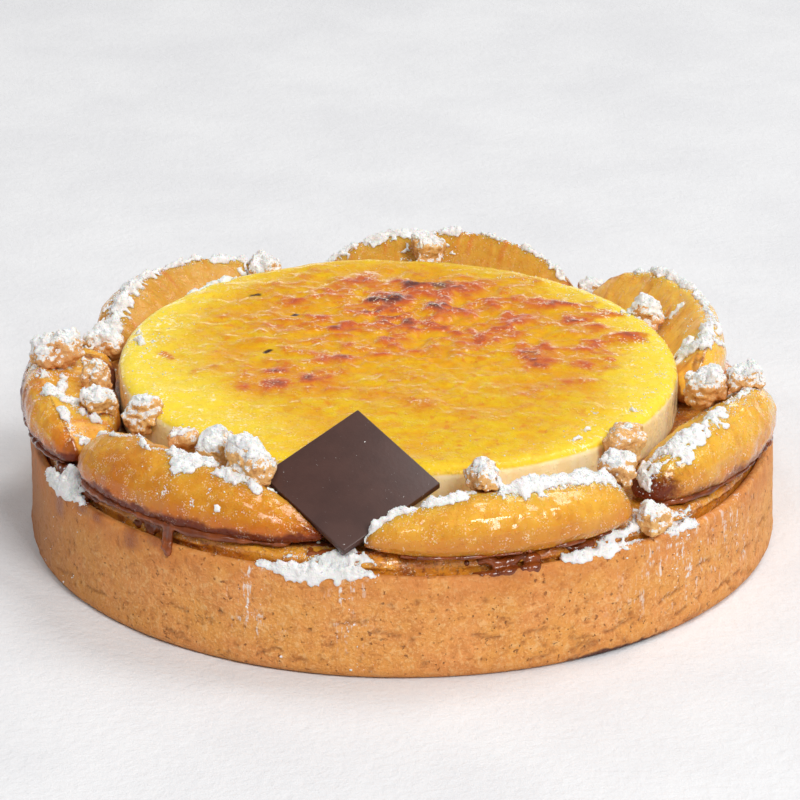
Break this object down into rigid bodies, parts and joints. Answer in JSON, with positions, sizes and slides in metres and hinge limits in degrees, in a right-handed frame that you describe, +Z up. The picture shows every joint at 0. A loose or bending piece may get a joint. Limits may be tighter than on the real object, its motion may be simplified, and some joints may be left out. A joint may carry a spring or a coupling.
{
  "type": "apple tart",
  "caption": "Round apple tart: straight shortcrust case, grilled custard disc ringed by caramelised apple wedges and crumble nuggets, with a bare square chocolate plaque leaning at the front.",
  "frame": {"origin": "centre of the flat base of the pastry case, on the surface the tart rests on", "axes": "+Z up from the base, -Y towards the front where the chocolate plaque leans, +X to the right seen from the front"},
  "size_m": [0.2014, 0.2002, 0.0543],
  "materials": {
    "shortcrust": "matte",
    "filling": "gloss",
    "custard": "satin",
    "apple": "gloss",
    "crumble": "matte",
    "chocolate": "satin",
    "icing_sugar": "matte",
    "caramel": "gloss"
  },
  "bodies": {
    "root": {"shell": "shortcrust", "filling": "filling", "custard": "custard", "plaque": "chocolate", "apple_front_left": "apple", "apple_front": "apple", "apple_right": "apple", "apple_back_right": "apple", "apple_back": "apple", "apple_back_left": "apple", "apple_left": "apple", "crumb_01": "crumble", "crumb_02": "crumble", "crumb_03": "crumble", "crumb_04": "crumble", "crumb_05": "crumble", "crumb_06": "crumble", "crumb_07": "crumble", "crumb_08": "crumble", "crumb_09": "crumble", "crumb_10": "crumble", "crumb_11": "crumble", "crumb_12": "crumble", "crumb_13": "crumble", "crumb_14": "crumble", "crumb_15": "crumble", "crumb_16": "crumble", "crumb_17": "crumble", "crumb_18": "crumble", "crumb_19": "crumble"}
  },
  "joints": []
}
